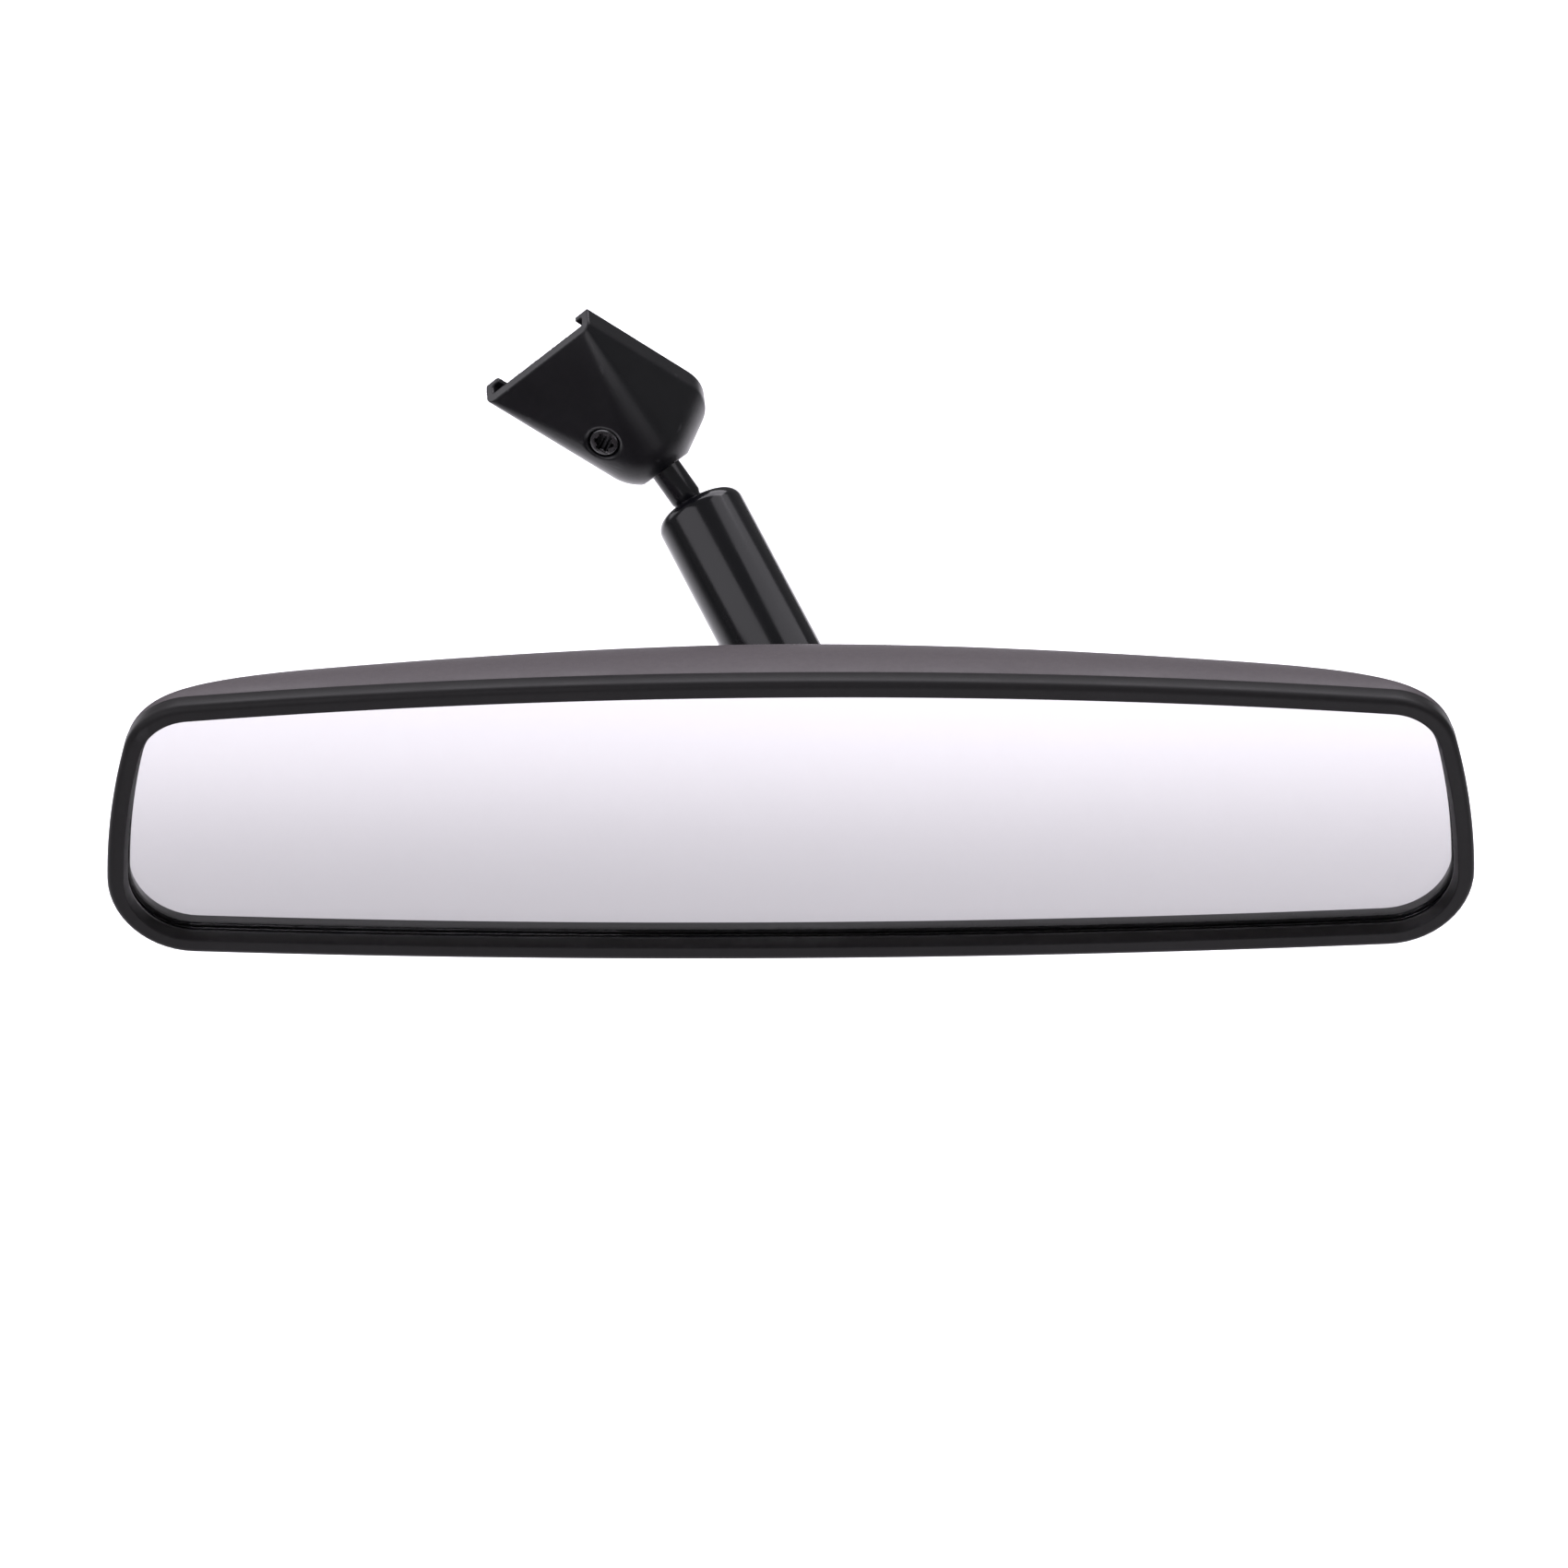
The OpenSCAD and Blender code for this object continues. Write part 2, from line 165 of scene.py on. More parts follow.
def blend_colors(tree, factor, first, second):
    """A colour between two, as far along as the factor says."""
    node = tree.nodes.new("ShaderNodeMix")
    node.data_type = "RGBA"
    node.inputs["A"].default_value = (*first, 1)
    node.inputs["B"].default_value = (*second, 1)
    tree.links.new(factor, node.inputs["Factor"])
    return node.outputs["Result"]


def bump(tree, shader, height, depth):
    """Lets a shader's surface rise and fall with a height, by the given depth in metres."""
    node = tree.nodes.new("ShaderNodeBump")
    node.inputs["Strength"].default_value = 1.0
    node.inputs["Distance"].default_value = depth
    tree.links.new(height, node.inputs["Height"])
    tree.links.new(node.outputs["Normal"], shader.inputs["Normal"])


def worn_and_highlit_edges(tree):
    """A value that grows along the mesh's outward edges, broken up by noise: where edges turn lighter, part
    scuffing and part painted highlight.
    """
    edges = tree.nodes.new("ShaderNodeNewGeometry").outputs["Pointiness"]
    ramp = tree.nodes.new("ShaderNodeMapRange")
    ramp.inputs["From Min"].default_value = EDGE_RANGE[0]
    ramp.inputs["From Max"].default_value = EDGE_RANGE[1]
    ramp.inputs["To Max"].default_value = WEAR_AND_HIGHLIGHT_MOST
    tree.links.new(edges, ramp.inputs["Value"])
    rubbed_and_highlit = tree.nodes.new("ShaderNodeMath")
    rubbed_and_highlit.operation = "MULTIPLY"
    tree.links.new(ramp.outputs["Result"], rubbed_and_highlit.inputs[0])
    tree.links.new(spread(tree, noise(tree, WEAR_AND_HIGHLIGHT_SCALE, 4), WEAR_AND_HIGHLIGHT_LEAST, 1.0), rubbed_and_highlit.inputs[1])
    return rubbed_and_highlit.outputs["Value"]


def grained(name, dark, light, roughness, grain_scale, grain_depth, worn_and_highlit_color=None, **more):
    """A moulded, painted or turned surface: uneven colour and gloss, a fine bump and lighter edges, part scuffing
    and part painted highlight.
    """
    mat, tree, shader = principled(name, dark, roughness[0], **more)
    color = blend_colors(tree, noise(tree, grain_scale / 3), dark, light)
    # Edges turn lighter: part scuffing, part painted highlight
    if worn_and_highlit_color:
        wear_and_highlight_mix = tree.nodes.new("ShaderNodeMix")
        wear_and_highlight_mix.data_type = "RGBA"
        wear_and_highlight_mix.inputs["B"].default_value = (*worn_and_highlit_color, 1)
        tree.links.new(color, wear_and_highlight_mix.inputs["A"])
        tree.links.new(worn_and_highlit_edges(tree), wear_and_highlight_mix.inputs["Factor"])
        color = wear_and_highlight_mix.outputs["Result"]
    tree.links.new(color, shader.inputs["Base Color"])
    gloss = spread(tree, noise(tree, GLOSS_SCALE, 4), *roughness)
    tree.links.new(gloss, shader.inputs["Roughness"])
    bump(tree, shader, noise(tree, grain_scale, 2), grain_depth)
    return mat


# Each finish's last colour is its lighter edge tint: part scuffing, part painted highlight
BLACK_PAINT = grained("black_paint", (0.004, 0.004, 0.006), (0.007, 0.007, 0.009), (0.28, 0.36),
                      900, 0.000004, worn_and_highlit_color=(0.05, 0.05, 0.055))
TUBE_PAINT = grained("tube_paint", (0.004, 0.004, 0.006), (0.007, 0.007, 0.009), (0.14, 0.2),
                     900, 0.000003, worn_and_highlit_color=(0.04, 0.04, 0.045))
CASE_GRAIN = grained("case_grain", (0.068, 0.057, 0.063), (0.092, 0.078, 0.085), (0.5, 0.6),
                     2600, 0.00004, worn_and_highlit_color=(0.14, 0.13, 0.135))
RIM_SATIN = grained("rim_satin", (0.009, 0.008, 0.009), (0.013, 0.012, 0.013), (0.42, 0.5),
                    2000, 0.000004, worn_and_highlit_color=(0.04, 0.04, 0.042), Specular_IOR_Level=0.25)
ACETAL = grained("acetal", (0.8, 0.78, 0.7), (0.84, 0.82, 0.74), (0.35, 0.45), 1200, 0.000005)
NYLON = grained("nylon", (0.03, 0.03, 0.032), (0.045, 0.045, 0.048), (0.4, 0.5), 1200, 0.00001)
ZINC = grained("zinc", (0.6, 0.6, 0.58), (0.68, 0.68, 0.66), (0.25, 0.4), 900, 0.00001,
               worn_and_highlit_color=(0.8, 0.8, 0.78), Metallic=1.0)
DARK_STEEL = grained("dark_steel", (0.1, 0.1, 0.105), (0.15, 0.15, 0.155), (0.2, 0.32),
                     1100, 0.00001, worn_and_highlit_color=(0.5, 0.5, 0.5), Metallic=1.0)
SPRING = grained("spring_wire", (0.45, 0.45, 0.47), (0.55, 0.55, 0.57), (0.2, 0.3), 1500, 0.00001,
                 Metallic=1.0)
SILVER = principled("silver", (0.93, 0.905, 0.935), 0.005, Metallic=1.0)[0]
FILM = grained("film", (0.25, 0.16, 0.1), (0.3, 0.2, 0.13), (0.45, 0.6), 700, 0.00002)
FOAM = grained("foam", (0.05, 0.05, 0.055), (0.08, 0.08, 0.085), (0.85, 0.95), 1400, 0.0002)
FLOAT_GLASS = principled("float_glass", (0.98, 0.985, 0.98), 0.0, IOR=1.52, Transmission_Weight=1.0)[0]

FINISH = {
    "windscreen_bracket": BLACK_PAINT, "set_screw": DARK_STEEL, "upper_ball_stud": TUBE_PAINT,
    "upper_ball_liner": ACETAL, "upper_ball_seat": NYLON, "arm_tube": TUBE_PAINT, "arm_spring": SPRING,
    "lower_ball_seat": NYLON, "lower_ball_liner": ACETAL, "lower_ball_stud": ZINC, "stud_plate": ZINC,
    "plate_screws": ZINC, "stud_washer": ZINC, "stud_lock_washer": DARK_STEEL, "stud_nut": ZINC,
    "rear_case": CASE_GRAIN, "front_bezel": RIM_SATIN, "mirror_glass": FLOAT_GLASS,
    "silver_coating": SILVER, "safety_film": FILM, "foam_pads": FOAM,
}
for node, mat in FINISH.items():
    materials = frame["nodes"][node].data.materials
    materials.clear()
    materials.append(mat)

# ---------------------------------------------------------------- mesh building

ROUND_SIDES = 96


def solid(name, place, points, faces):
    """A closed mesh object from points in mm in its own axes, with its faces turned outwards."""
    mesh = bpy.data.meshes.new(name)
    mesh.from_pydata([place @ Vector(p) for p in points], [], faces)
    return face_outwards(link_mesh(name, mesh))


def link_mesh(name, mesh):
    """A new object in the scene for a mesh."""
    thing = bpy.data.objects.new(name, mesh)
    bpy.context.scene.collection.objects.link(thing)
    return thing


def face_outwards(thing):
    shape = bmesh.new()
    shape.from_mesh(thing.data)
    bmesh.ops.recalc_face_normals(shape, faces=shape.faces)
    shape.to_mesh(thing.data)
    shape.free()
    return thing


def add_piece(thing, node, body, sharp=35):
    """Makes a built solid stand for a CAD node."""
    thing.data.shade_smooth()
    thing.data.set_sharp_from_angle(angle=math.radians(sharp))
    thing.data.materials.clear()
    thing.data.materials.append(FINISH[node])
    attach(thing, body)
    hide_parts(node)


def with_modifiers(thing):
    """The object again, with its modifiers worked into its mesh."""
    shaped = thing.evaluated_get(bpy.context.evaluated_depsgraph_get())
    mesh = bpy.data.meshes.new_from_object(shaped)
    thing.modifiers.clear()
    thing.data = mesh
    return thing


def combine(thing, tools, operation):
    """Cuts the tools from a solid, joins them to it or keeps what they share, and drops the tools."""
    for tool in tools:
        step = thing.modifiers.new("combine", "BOOLEAN")
        step.operation = operation
        step.solver = "EXACT"
        step.object = tool
        with_modifiers(thing)
        bpy.data.objects.remove(tool)
    return thing


def block(place, low, high):
    """A box between two corners in mm, for cutting and joining."""
    points = [(x, y, z) for x in (low[0], high[0]) for y in (low[1], high[1]) for z in (low[2], high[2])]
    faces = [(0, 1, 3, 2), (4, 6, 7, 5), (0, 4, 5, 1), (2, 3, 7, 6), (0, 2, 6, 4), (1, 5, 7, 3)]
    return solid("block", place, points, faces)


def skin_faces(rings, around, closed):
    """Quads between neighbouring rings of points; closed joins the last ring to the first."""
    spans = rings if closed else rings - 1
    return [
        (k * around + i, k * around + (i + 1) % around,
         (k + 1) % rings * around + (i + 1) % around, (k + 1) % rings * around + i)
        for k in range(spans) for i in range(around)
    ]


def lathe(profile, sides=128):
    """Points and faces of a closed (radius, height) profile turned about +Z."""
    points = [
        (r * math.cos(2 * math.pi * i / sides), r * math.sin(2 * math.pi * i / sides), z)
        for r, z in profile for i in range(sides)
    ]
    return points, skin_faces(len(profile), sides, closed=True)


def capped(rings):
    """Points and faces of a solid through a row of rings, with a flat cap at each end."""
    around = len(rings[0])
    last = (len(rings) - 1) * around
    faces = skin_faces(len(rings), around, closed=False)
    faces += [tuple(range(around)), tuple(range(last, last + around))]
    return [p for ring in rings for p in ring], faces


def turned(profile, sides=ROUND_SIDES):
    """A solid bar turned about +Z from (radius, height) steps."""
    turns = [2 * math.pi * i / sides for i in range(sides)]
    return capped([[(r * math.cos(t), r * math.sin(t), z) for t in turns] for r, z in profile])


def arc_points(centre, radius, start, end, steps):
    """Points on an arc, both ends included, angles in degrees."""
    return [
        (centre[0] + radius * math.cos(math.radians(start + (end - start) * i / steps)),
         centre[1] + radius * math.sin(math.radians(start + (end - start) * i / steps)))
        for i in range(steps + 1)
    ]


# ---------------------------------------------------------------- the head's outline


def cross_point(c0, r0, c1, r1, side):
    """Where two circles cross, on one side of the line between their centres."""
    d = Vector(c1) - Vector(c0)
    a = (r0 ** 2 - r1 ** 2 + d.length_squared) / (2 * d.length)
    h = math.sqrt(r0 ** 2 - a ** 2)
    return Vector(c0) + (a * d + side * h * Vector((-d.y, d.x))) / d.length


def heading(centre, point):
    return math.degrees(math.atan2(point[1] - centre[1], point[0] - centre[0]))


def outline(inset, growth=0.0, steps=(40, 14, 14)):
    """The head's outline, clockwise from the middle of the top, in the plane of the glass."""
    long_steps, corner_steps, side_steps = steps
    top_r, bottom_r = TOP_CORNER + growth, BOTTOM_CORNER + growth
    top_c = (0.0, HEAD_RISE - TOP_ARC)
    bottom_c = (0.0, BOTTOM_ARC - HEAD_DROP)
    side_c = (HEAD_HALF_WIDTH + SIDE_OVER - SIDE_ARC, SIDE_ARC_Z)
    top_f = cross_point(top_c, TOP_ARC - top_r, side_c, SIDE_ARC - top_r, -1)
    bottom_f = cross_point(bottom_c, BOTTOM_ARC - bottom_r, side_c, SIDE_ARC - bottom_r, 1)
    stretches = [
        (top_c, TOP_ARC, 90, heading(top_c, top_f), long_steps),
        (top_f, top_r, heading(top_c, top_f), heading(side_c, top_f), corner_steps),
        (side_c, SIDE_ARC, heading(side_c, top_f), heading(side_c, bottom_f), side_steps),
        (bottom_f, bottom_r, heading(side_c, bottom_f), heading(bottom_c, bottom_f), corner_steps),
        (bottom_c, BOTTOM_ARC, heading(bottom_c, bottom_f), -90, long_steps),
    ]
    half = [(0.0, HEAD_RISE - inset)]
    for centre, radius, start, end, count in stretches:
        half += arc_points(centre, radius - inset, start, end, count)[1:]
    return half + [(-x, z) for x, z in reversed(half[1:-1])]


def head_ring(inset, y, x_scale, z_scale):
    growth = CORNER_GROWTH * (1 - z_scale)
    return [(x * x_scale, y, z * z_scale) for x, z in outline(inset, growth)]


# ---------------------------------------------------------------- rim

# Widths are insets from the head's outline, and depths are behind the glass face
RIM_WIDTH = 3.6
RIM_HEIGHT = 3.05
RIM_ROUND = 1.4
RIM_FACE = 3.15
RIM_EDGE = 0.3
SKIRT_OUT = 2.1
SKIRT_IN = 2.65
SKIRT_END = 2.4
SKIRT_CHAMFER = 0.15
LIP_BACK = -0.02
LIP_FRONT = -0.7
LIP_CHAMFER = 0.1
SEAM_CHAMFER = (0.2, 0.25)


def add_rim():
    """The rim from its section in (inset, depth): the skirt, the lip, the front and the seam."""
    front = arc_points((RIM_ROUND, RIM_ROUND - RIM_HEIGHT), RIM_ROUND, 270, 180, 10)
    edge = arc_points((RIM_FACE - RIM_EDGE, RIM_EDGE - RIM_HEIGHT), RIM_EDGE, 350, 270, 6)
    section = [
        (SKIRT_OUT, SEAM_Y + SKIRT_CHAMFER), (SKIRT_OUT, SKIRT_END - SKIRT_CHAMFER),
        (SKIRT_OUT + SKIRT_CHAMFER, SKIRT_END), (SKIRT_IN, SKIRT_END),
        (SKIRT_IN, LIP_BACK), (RIM_WIDTH - LIP_CHAMFER, LIP_BACK), (RIM_WIDTH, LIP_BACK - LIP_CHAMFER),
        (RIM_WIDTH, LIP_FRONT), *edge, *front,
        (0, SEAM_Y - SEAM_CHAMFER[1]), (SEAM_CHAMFER[0], SEAM_Y), (SKIRT_OUT - SKIRT_CHAMFER, SEAM_Y),
    ]
    rings = [[(x, y, z) for x, z in outline(inset)] for inset, y in section]
    points = [p for ring in rings for p in ring]
    moulding = solid("rim_moulding", HEAD, points, skin_faces(len(rings), len(rings[0]), closed=True))
    add_piece(moulding, "front_bezel", "head", sharp=50)


# ---------------------------------------------------------------- rear case

PLATE_BACK = 22.1
PLATE_SCREW_X = 23.0
PLATE_SCREW_Z = 6.0
PLATE_SCREWS = [(side * PLATE_SCREW_X, level * PLATE_SCREW_Z) for side in (-1, 1) for level in (-1, 1)]
SCREW_REACH = 3.9
BOSS_R = 3.6
PILOT_R = 1.5
PILOT_LEAD = 1.0
RIB_X = [-95.0, -60.0, 60.0, 95.0]
RIB_THICK = 1.6
RIB_HEIGHT = 40.0
FOAM_BACK = 5.0
KNEE_Y = 28.0
LOWER_BALL_Y = 43.4
LOWER_BALL_Z = 0.8
STUD_RISE = math.radians(25)
KNEE_Z = LOWER_BALL_Z - (LOWER_BALL_Y - KNEE_Y) * math.tan(STUD_RISE)
CASE_HOLE_R = 7.0
DOME_END = 84.0
# Powers of the dome's sine and cosine: its depth, and how its length and height shrink
DOME_DEEP = 1.24
DOME_LONG = 1.75
DOME_HIGH = 0.67
# Rings crowd towards the case's front edge, where it curves in behind the rim
RING_CROWDING = 1.4
# The rounding of the shell's front edge, and how far in the middle of its round lies
CASE_EDGE = 0.25
CASE_EDGE_MIDDLE = 0.07


def dome_rings(wall, count=30):
    """The case's shape, or a shape inside it by the given wall: a straight land, then a dome."""
    inset = CASE_INSET + wall
    rings = []
    for k in range(count + 1):
        a = math.radians(DOME_END * (k / count) ** RING_CROWDING)
        rise = (CASE_DEPTH - CASE_LAND) * math.sin(a) ** DOME_DEEP - wall * math.sqrt(math.sin(a))
        x_scale, z_scale = math.cos(a) ** DOME_LONG, math.cos(a) ** DOME_HIGH
        rings.append(head_ring(inset, SEAM_Y + CASE_LAND + rise, x_scale, z_scale))
    return rings


def turned_back(x, z, profile, sides=64):
    """A turned bar along the head's +Y, on an axis through (x, z)."""
    points, faces = turned(profile, sides)
    return [(x + p[0], p[2], z + p[1]) for p in points], faces


def add_case():
    """The shell with its rounded front edge, its ribs and screw bosses, and the stud's hole."""
    edge_steps = [
        (CASE_WALL, 0.0), (CASE_EDGE, 0.0), (CASE_EDGE_MIDDLE, CASE_EDGE_MIDDLE), (0.0, CASE_EDGE),
    ]
    edge = [head_ring(CASE_INSET + inset, SEAM_Y + y, 1, 1) for inset, y in edge_steps]
    shell = solid("case_shell", HEAD, *capped(dome_rings(CASE_WALL)[::-1] + edge + dome_rings(0.0)))
    ribs = [
        block(HEAD, (x - RIB_THICK / 2, FOAM_BACK, -RIB_HEIGHT / 2),
              (x + RIB_THICK / 2, CASE_DEPTH, RIB_HEIGHT / 2))
        for x in RIB_X
    ]
    bosses = [
        solid("boss", HEAD, *turned_back(x, KNEE_Z + z, [(BOSS_R, PLATE_BACK), (BOSS_R, CASE_DEPTH)]))
        for x, z in PLATE_SCREWS
    ]
    for inside in ribs + bosses:
        shape = solid("inside", HEAD, *capped(dome_rings(CASE_WALL / 2)))
        combine(inside, [shape], "INTERSECT")
    combine(shell, ribs + bosses, "UNION")
    pilot_start = PLATE_BACK - PILOT_LEAD
    pilot = [(PILOT_R, pilot_start), (PILOT_R, pilot_start + SCREW_REACH)]
    holes = [solid("pilot", HEAD, *turned_back(x, KNEE_Z + z, pilot)) for x, z in PLATE_SCREWS]
    stud_hole = [(CASE_HOLE_R, PLATE_BACK), (CASE_HOLE_R, 2 * CASE_DEPTH)]
    holes.append(solid("hole", HEAD, *turned_back(0, KNEE_Z, stud_hole)))
    combine(shell, holes, "DIFFERENCE")
    add_piece(shell, "rear_case", "head", sharp=40)


# ---------------------------------------------------------------- glass

GLASS_BEVEL = 0.35
BEVEL_DEPTH = 0.25
GLASS_CHAMFER = 0.1
GLASS_GAP = 0.01


def add_glass():
    """The glass plate with its ground front edge, just clear of the coating behind it."""
    section = [
        (GLASS_INSET + GLASS_BEVEL, 0.0),
        (GLASS_INSET, BEVEL_DEPTH),
        (GLASS_INSET, GLASS_THICK - GLASS_CHAMFER),
        (GLASS_INSET + GLASS_CHAMFER, GLASS_THICK - GLASS_GAP),
    ]
    rings = [[(x, y, z) for x, z in outline(inset)] for inset, y in section]
    add_piece(solid("glass_plate", HEAD, *capped(rings)), "mirror_glass", "head", sharp=20)


# ---------------------------------------------------------------- arm

TUBE_R = 8.8
SOCKET_R = 7.4
UPPER_LIP = 5.0
LOWER_LIP = 3.2
UPPER_FILLET = 2.8
LOWER_FILLET = 2.0


def add_tube():
    """The tube with its rolled ends and, inside, a round seat for each ball joint."""
    top = ARM_LENGTH + UPPER_LIP
    low_angle = math.degrees(math.asin(LOWER_LIP / SOCKET_R))
    high_angle = math.degrees(math.asin(UPPER_LIP / SOCKET_R))
    profile = arc_points((TUBE_R - LOWER_FILLET, LOWER_FILLET - LOWER_LIP), LOWER_FILLET, 270, 360, 12)
    profile += arc_points((TUBE_R - UPPER_FILLET, top - UPPER_FILLET), UPPER_FILLET, 0, 90, 16)
    profile += arc_points((0, ARM_LENGTH), SOCKET_R, high_angle, 0, 10)
    profile += arc_points((0, 0), SOCKET_R, 0, -low_angle, 8)
    add_piece(solid("tube_body", ARM, *lathe(profile)), "arm_tube", "arm", sharp=40)


BALL_R = 6.0
NECK_R = 3.1
WAIST_R = 2.75
WAIST_RUN = 0.5
WAIST_TAPER = 0.7
COLLAR_R = 6.4
COLLAR_TAPER = 1.7
SHANK_R = 3.95
SHANK_END = 10.8
SHANK_CHAMFER = 0.6
NECK_CHAMFER = 0.3
COLLAR_EDGE = 0.2
# A turned ball starts just off its pole, in degrees, so that its cap is a small flat and not a point
BALL_START = -88
# The lower stud's sloping neck stops short of the knee, and the straight part starts past it
NECK_STOP = 2.4
KNEE_PAST = 1.0


def ball_steps(to_neck):
    """(radius, distance) steps of a ball at zero, from its far pole to the neck's start."""
    waist_angle = math.degrees(math.asin(WAIST_R / BALL_R))
    steps = arc_points((0, 0), BALL_R, BALL_START, 90 - waist_angle, 40)
    steps += [(WAIST_R, BALL_R + WAIST_RUN), (NECK_R, BALL_R + WAIST_RUN + WAIST_TAPER)]
    return steps + [(NECK_R, to_neck)]


def add_upper_stud():
    """Ball, waist, neck and the shank pressed into the bracket."""
    reach = STUD_REACH + STUD_SHANK
    profile = [*ball_steps(reach - NECK_CHAMFER), (NECK_R - NECK_CHAMFER, reach)]
    away = frame_along(UPPER_BALL, -way(BRACKET, *STUD_WAY))
    add_piece(solid("upper_stud_bar", away, *turned(profile)), "upper_ball_stud", "bracket", sharp=40)


def add_lower_stud():
    """Ball and neck down to the knee, then the collar and the shank straight into the head."""
    down = Vector((0, -math.cos(STUD_RISE), -math.sin(STUD_RISE)))
    ball = Vector((0, LOWER_BALL_Y, LOWER_BALL_Z))
    neck_run = (LOWER_BALL_Y - KNEE_Y) / math.cos(STUD_RISE) - NECK_STOP
    forward = Vector((0, -1, 0))
    straight_start = KNEE_Y + KNEE_PAST
    collar_end = straight_start - COLLAR_TAPER
    straight = [
        (NECK_R + COLLAR_EDGE / 2, straight_start),
        (COLLAR_R - COLLAR_EDGE, collar_end + COLLAR_EDGE / 2),
        (COLLAR_R, collar_end - COLLAR_EDGE * 0.75),
        (COLLAR_R, PLATE_BACK + COLLAR_EDGE),
        (COLLAR_R - COLLAR_EDGE, PLATE_BACK),
        (SHANK_R, PLATE_BACK),
        (SHANK_R, SHANK_END + SHANK_CHAMFER),
        (SHANK_R - SHANK_CHAMFER, SHANK_END),
    ]
    stations = [(ball + d * down, down, r) for r, d in ball_steps(neck_run)]
    stations += [(Vector((0, y, KNEE_Z)), forward, r) for r, y in straight]
    across = Vector((1, 0, 0))
    turns = [2 * math.pi * i / ROUND_SIDES for i in range(ROUND_SIDES)]
    rings = []
    for centre, axis, radius in stations:
        over = axis.cross(across)
        rings.append([centre + radius * (math.cos(t) * across + math.sin(t) * over) for t in turns])
    add_piece(solid("lower_stud_bar", HEAD, *capped(rings)), "lower_ball_stud", "head", sharp=40)


# ---------------------------------------------------------------- windscreen bracket and set screw

# In the bracket's own axes: X across the channel, Y from the mouth inwards, Z out of the channel
BRACKET_HALF = 14.2
MOUTH_Y = -15.3
END_Y = 22.0
FAR_CORNER = 10.3
MOUTH_LAND = 10.0
WEB = 1.5
CHANNEL_HALF = 12.3
CHANNEL_HEIGHT = 1.9
LIP_GAP_HALF = 10.7
LIP_Z = 3.1
CHANNEL_END = 12.0
BULB = Vector((0, 11.8, -3.15))
BULB_R = 9.85
# The rendered bulb is this much larger, because softening the edges takes some of it away
BULB_SWELL = 0.25
BOSS_FACE = 8.6
STUD_DROP = math.radians(41.4)
STUD_WAY = (0, math.cos(STUD_DROP), -math.sin(STUD_DROP))
STUD_REACH = 13.85
STUD_SHANK = 5.4
STUD_BORE = 5.5
STUD_FIT = 0.05
# How far in front of a bore its cutting bar starts
BORE_LEAD = 3.0
LIP_ROUND = 0.45
BACK_ROUND = 1.2
SCREW_X = -1.7
SCREW_Y = 2.9
SCREW_R = 3.0
SCREW_LENGTH = 9.6
SCREW_SINK = 0.3
SCREW_FIT = 0.08
SCREW_CONE = 0.42
SCREW_POINT = 0.8
# The countersink's height outside the face, its depth below it and how far it widens
SINK_OUT = 0.6
SINK_IN = 0.4
SINK_WIDER = 1.1
STAR_R = 1.55
STAR_LOBE = 0.45
STAR_DEEP = 3.0
STAR_EDGE = 0.1
# Blocks that cut the casting reach this far, clear of its outside
CLEAR = 20
# The casting's grid, which sets how fine its softened edges are
VOXEL = 0.2
MOUTH_RUN = BULB.y - MOUTH_Y
MOUTH_FALL = -WEB - BULB.z
BACK_SLOPE = math.atan(MOUTH_FALL / MOUTH_RUN) + math.asin(BULB_R / math.hypot(MOUTH_RUN, MOUTH_FALL))
SCREW_WAY = (0, math.sin(BACK_SLOPE), math.cos(BACK_SLOPE))
SCREW_Z = -WEB - (SCREW_Y - MOUTH_Y) * math.tan(BACK_SLOPE)
SCREW = frame_along(point_on(BRACKET, SCREW_X, SCREW_Y, SCREW_Z), way(BRACKET, *SCREW_WAY))
BOSS = frame_along(point_on(BRACKET, *(BULB + BOSS_FACE * Vector(STUD_WAY))), way(BRACKET, *STUD_WAY))


def ball_points(centre, radius, bands, sides):
    """Points spread over a ball, both poles included."""
    points = [Vector(centre) + Vector((0, 0, radius * end)) for end in (-1, 1)]
    for band in range(1, bands):
        tilt = math.pi * band / bands
        for i in range(sides):
            turn = 2 * math.pi * i / sides
            flat = radius * math.sin(tilt)
            points.append(Vector(centre) + Vector(
                (flat * math.cos(turn), flat * math.sin(turn), radius * math.cos(tilt))))
    return points


def foot_points(round_r, z):
    """Balls around the casting's foot at one height; they run out past the mouth, which is cut flat."""
    spots = [(side * (BRACKET_HALF - round_r), y) for side in (-1, 1)
             for y in (MOUTH_Y - round_r, MOUTH_Y + MOUTH_LAND)]
    for side in (-1, 1):
        start, end = (90, 0) if side > 0 else (90, 180)
        centre = (side * (BRACKET_HALF - FAR_CORNER), END_Y - FAR_CORNER)
        spots += arc_points(centre, FAR_CORNER - round_r, start, end, 16)
    return [p for x, y in spots for p in ball_points((x, y, z), round_r, 12, 24)]


def bracket_hull():
    """The casting's outer shape: a flat foot with rounded edges, run together with the bulb."""
    points = ball_points(BULB, BULB_R + BULB_SWELL, 36, 72)
    points += foot_points(BACK_ROUND, BACK_ROUND - WEB) + foot_points(LIP_ROUND, LIP_Z - LIP_ROUND)
    hull = bmesh.new()
    for point in points:
        if point.z <= LIP_Z:
            hull.verts.new(BRACKET @ point)
    bmesh.ops.convex_hull(hull, input=hull.verts)
    inner = [v for v in hull.verts if not v.link_faces]
    bmesh.ops.delete(hull, geom=inner, context="VERTS")
    bmesh.ops.dissolve_degenerate(hull, edges=hull.edges, dist=0.02 * MM)
    mesh = bpy.data.meshes.new("bracket_casting")
    hull.to_mesh(mesh)
    hull.free()
    return face_outwards(link_mesh("bracket_casting", mesh))


